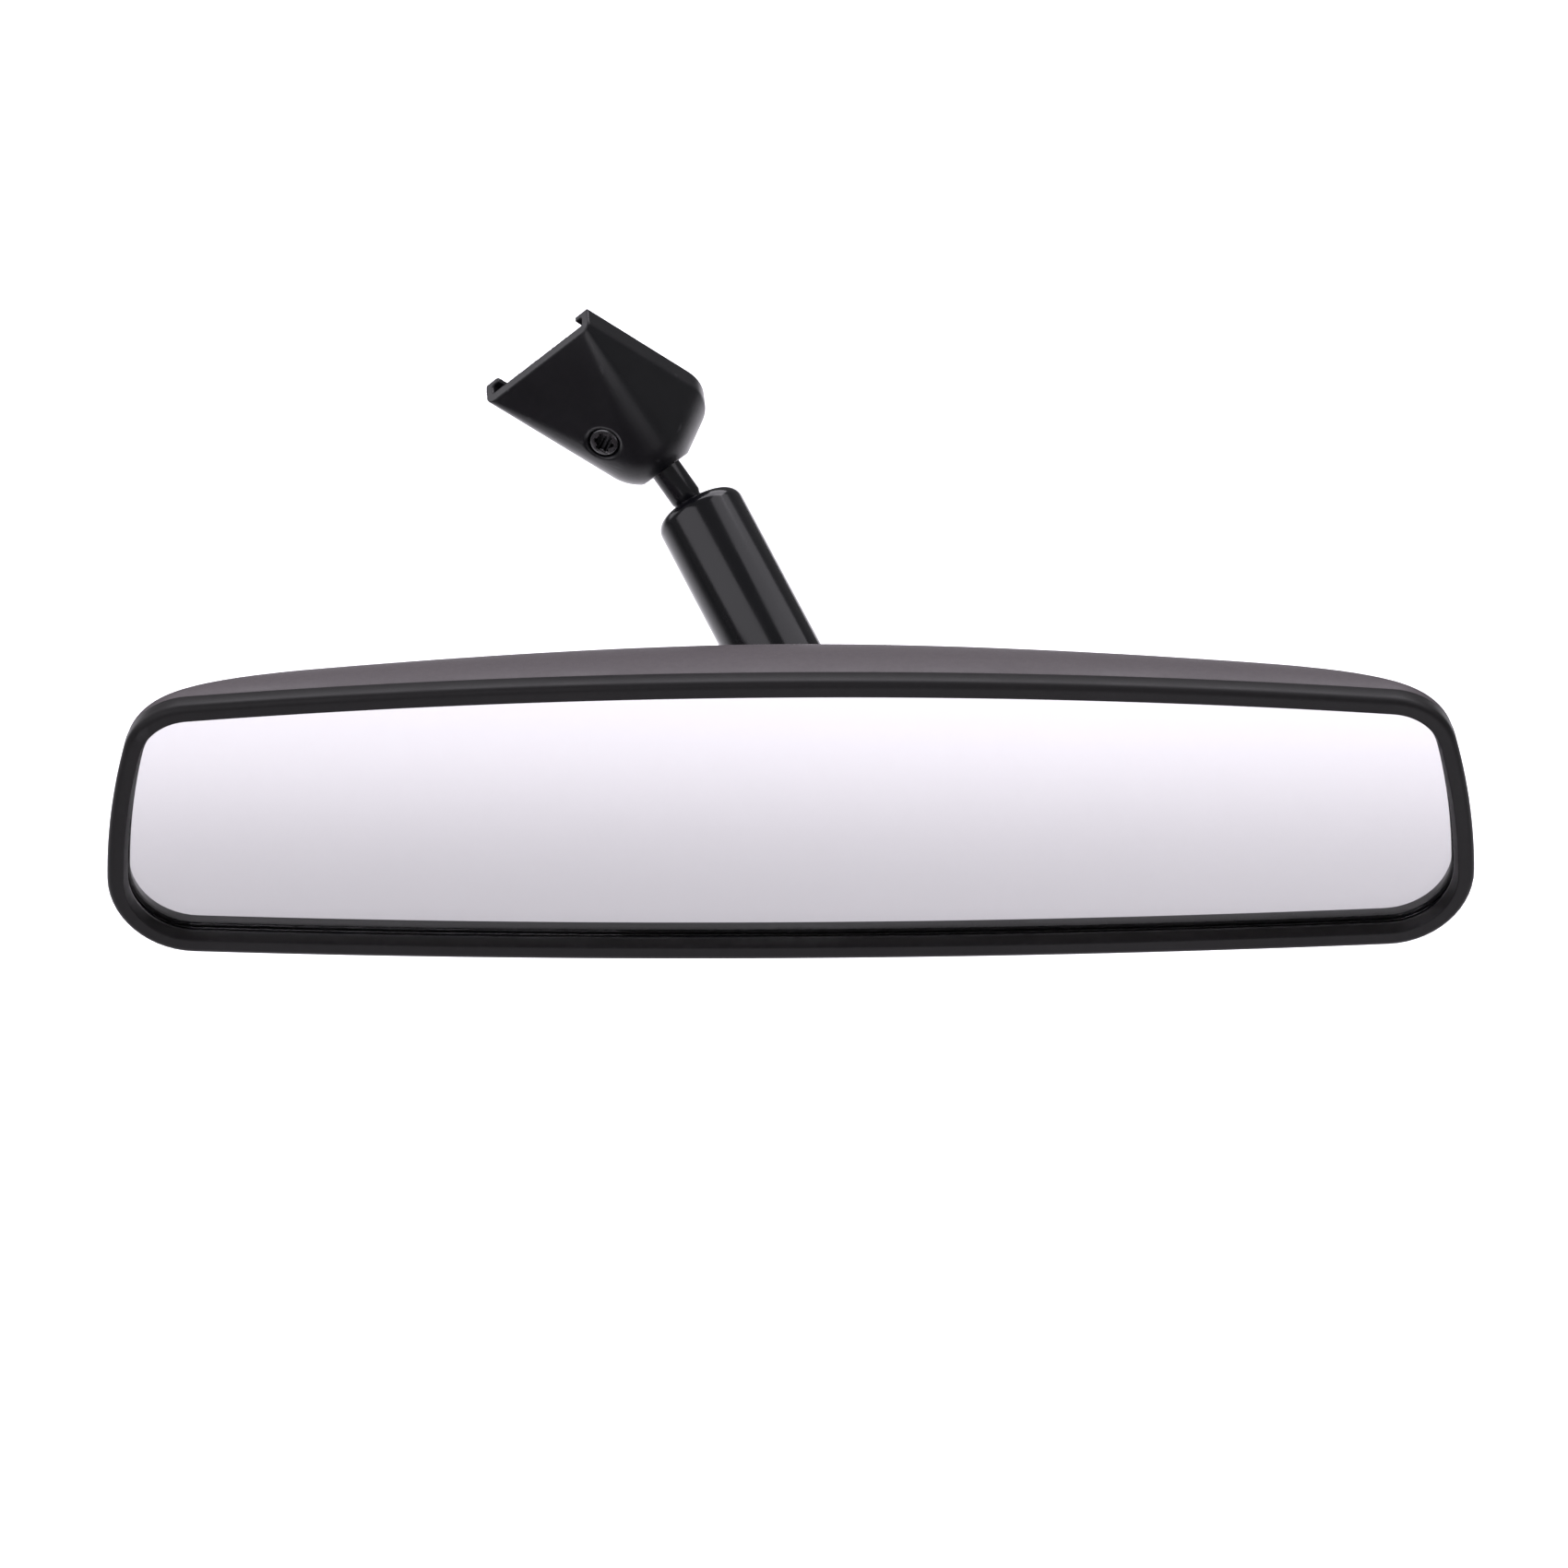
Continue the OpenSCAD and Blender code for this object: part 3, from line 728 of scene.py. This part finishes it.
def add_bracket():
    """The hull with the channel, the boss's face and both bores cut, and its edges softened."""
    casting = bracket_hull()
    before = MOUTH_Y - CLEAR
    stud_bore = NECK_R + STUD_FIT
    screw_bore = SCREW_R + SCREW_FIT
    cuts = [
        block(BRACKET, (-CLEAR, before, -CLEAR), (CLEAR, MOUTH_Y, CLEAR)),
        block(BRACKET, (-CHANNEL_HALF, before, 0), (CHANNEL_HALF, CHANNEL_END, CHANNEL_HEIGHT)),
        block(BRACKET, (-LIP_GAP_HALF, before, CHANNEL_HEIGHT / 2), (LIP_GAP_HALF, CHANNEL_END, CLEAR)),
        block(BOSS, (-CLEAR, -CLEAR, 0), (CLEAR, CLEAR, CLEAR)),
        solid("bore", BOSS, *turned([(stud_bore, -STUD_BORE), (stud_bore, BORE_LEAD)])),
        solid("bore", SCREW, *turned([(screw_bore, -BORE_LEAD), (screw_bore, 2 * SCREW_LENGTH)])),
        solid("countersink", SCREW, *turned([(SCREW_R + SINK_WIDER, -SINK_OUT), (SCREW_R, SINK_IN)])),
    ]
    combine(casting, cuts, "DIFFERENCE")
    grid = casting.modifiers.new("grid", "REMESH")
    grid.mode = "VOXEL"
    grid.voxel_size = VOXEL * MM
    soften = casting.modifiers.new("soften", "SMOOTH")
    soften.factor = 0.5
    soften.iterations = 5
    thin_out = casting.modifiers.new("thin_out", "DECIMATE")
    thin_out.ratio = 0.3
    add_piece(with_modifiers(casting), "windscreen_bracket", "bracket", sharp=70)


def star_radius(turn):
    """The socket's radius: a circle with six round lobes on it."""
    off = (math.degrees(turn) + 30) % 60 - 30
    across = STAR_R * math.sin(math.radians(off))
    if abs(across) >= STAR_LOBE:
        return STAR_R
    return STAR_R * math.cos(math.radians(off)) + math.sqrt(STAR_LOBE ** 2 - across ** 2)


def add_set_screw():
    """A socket screw: the star socket, the flat face, the cone around it, the body and its point."""
    sides = 192
    turns = [2 * math.pi * i / sides for i in range(sides)]
    end = SCREW_SINK + SCREW_LENGTH
    socket_steps = [
        (-STAR_EDGE, STAR_DEEP), (0, STAR_DEEP - STAR_EDGE), (0, STAR_EDGE), (STAR_EDGE, 0),
    ]
    socket = [
        [((star_radius(t) + wider) * math.cos(t), (star_radius(t) + wider) * math.sin(t), SCREW_SINK + z)
         for t in turns]
        for wider, z in socket_steps
    ]
    outside = [
        (SCREW_R - SCREW_CONE, SCREW_SINK), (SCREW_R - 0.8 * SCREW_CONE, SCREW_SINK + 0.1 * SCREW_CONE),
        (SCREW_R - 0.1 * SCREW_CONE, SCREW_SINK + 0.8 * SCREW_CONE), (SCREW_R, SCREW_SINK + SCREW_CONE),
        (SCREW_R, end - SCREW_POINT), (SCREW_R - SCREW_POINT, end),
    ]
    rings = socket + [[(r * math.cos(t), r * math.sin(t), z) for t in turns] for r, z in outside]
    add_piece(solid("screw_bar", SCREW, *capped(rings)), "set_screw", "screw", sharp=30)


add_rim()
add_case()
add_glass()
add_tube()
add_upper_stud()
add_lower_stud()
add_bracket()
add_set_screw()

# ---------------------------------------------------------------- studio

ELEVATION = math.radians(34)
ROLL = math.radians(-0.35)
DISTANCE = 740.7 * MM
SENSOR = 36
LENS = 92.6
SHIFT_X = -0.0041
SHIFT_Y = 0.0176
FLOOR_Z = -0.5
FLOOR_HALF = 6.0
FLOOR_GRAY = 0.48
WORLD_LIGHT = 0.2
LIGHT_TINT = (1.0, 0.97, 1.04)
MIRROR_MIDDLE = (0.03, -0.02, -0.035)

camera = bpy.data.objects.new("camera", bpy.data.cameras.new("camera"))
bpy.context.scene.collection.objects.link(camera)
camera.matrix_world = (
    Matrix.Translation(GLASS + DISTANCE * Vector((0, -math.cos(ELEVATION), math.sin(ELEVATION))))
    @ Matrix.Rotation(math.pi / 2 - ELEVATION, 4, "X")
    @ Matrix.Rotation(ROLL, 4, "Z")
)
camera.data.sensor_width = SENSOR
camera.data.lens = LENS
camera.data.shift_x = SHIFT_X
camera.data.shift_y = SHIFT_Y
bpy.context.scene.camera = camera


def add_floor():
    """A plain pale floor well below the mirror."""
    mesh = bpy.data.meshes.new("floor")
    corners = [(-1, -1), (1, -1), (1, 1), (-1, 1)]
    mesh.from_pydata([(x * FLOOR_HALF, y * FLOOR_HALF, FLOOR_Z) for x, y in corners], [], [(0, 1, 2, 3)])
    mesh.materials.append(principled("floor_paint", (FLOOR_GRAY, FLOOR_GRAY, FLOOR_GRAY), 0.6)[0])
    link_mesh("floor", mesh)


def add_softbox(name, place, aim, size, watts):
    """A rectangular light at a place, turned towards its aim; the camera doesn't see it."""
    data = bpy.data.lights.new(name, "AREA")
    data.shape = "RECTANGLE"
    data.size, data.size_y = size
    data.energy = watts
    data.color = LIGHT_TINT
    light = bpy.data.objects.new(name, data)
    bpy.context.scene.collection.objects.link(light)
    light.location = place
    light.rotation_euler = (Vector(aim) - Vector(place)).to_track_quat("-Z", "Y").to_euler()
    light.visible_camera = False


def set_world(strength):
    """An even white light from all around."""
    world = bpy.data.worlds.new("studio")
    bpy.context.scene.world = world
    world.use_nodes = True
    back = world.node_tree.nodes["Background"]
    back.inputs["Color"].default_value = (1, 1, 1, 1)
    back.inputs["Strength"].default_value = strength


add_floor()
set_world(WORLD_LIGHT)
# Each light's place, what it faces, its size in metres and its power in watts
add_softbox("floor_wash", (0.04, 0.95, -0.12), (0.04, 0.95, -0.5), (2.6, 2.0), 44)
add_softbox("back_light", (0.04, 1.2, 1.3), (0.04, 0.9, -0.5), (2.4, 1.6), 34)
add_softbox("front_wash", (0.04, -1.18, -0.42), (0.04, -1.18, -0.5), (1.6, 0.84), 7)
add_softbox("left_softbox", (-0.65, -0.74, 0.65), MIRROR_MIDDLE, (1.56, 1.0), 6)
add_softbox("front_panel", (0.45, -0.95, -0.22), (0.01, 0, -0.02), (0.9, 0.6), 1.6)
add_softbox("side_panel", (-0.85, 0.45, 0.24), (0, 0, 0), (0.5, 0.5), 1.0)
add_softbox("right_softbox", (0.8, 0.05, 0.875), MIRROR_MIDDLE, (1.07, 1.0), 4)
bpy.context.scene.view_settings.view_transform = "Standard"
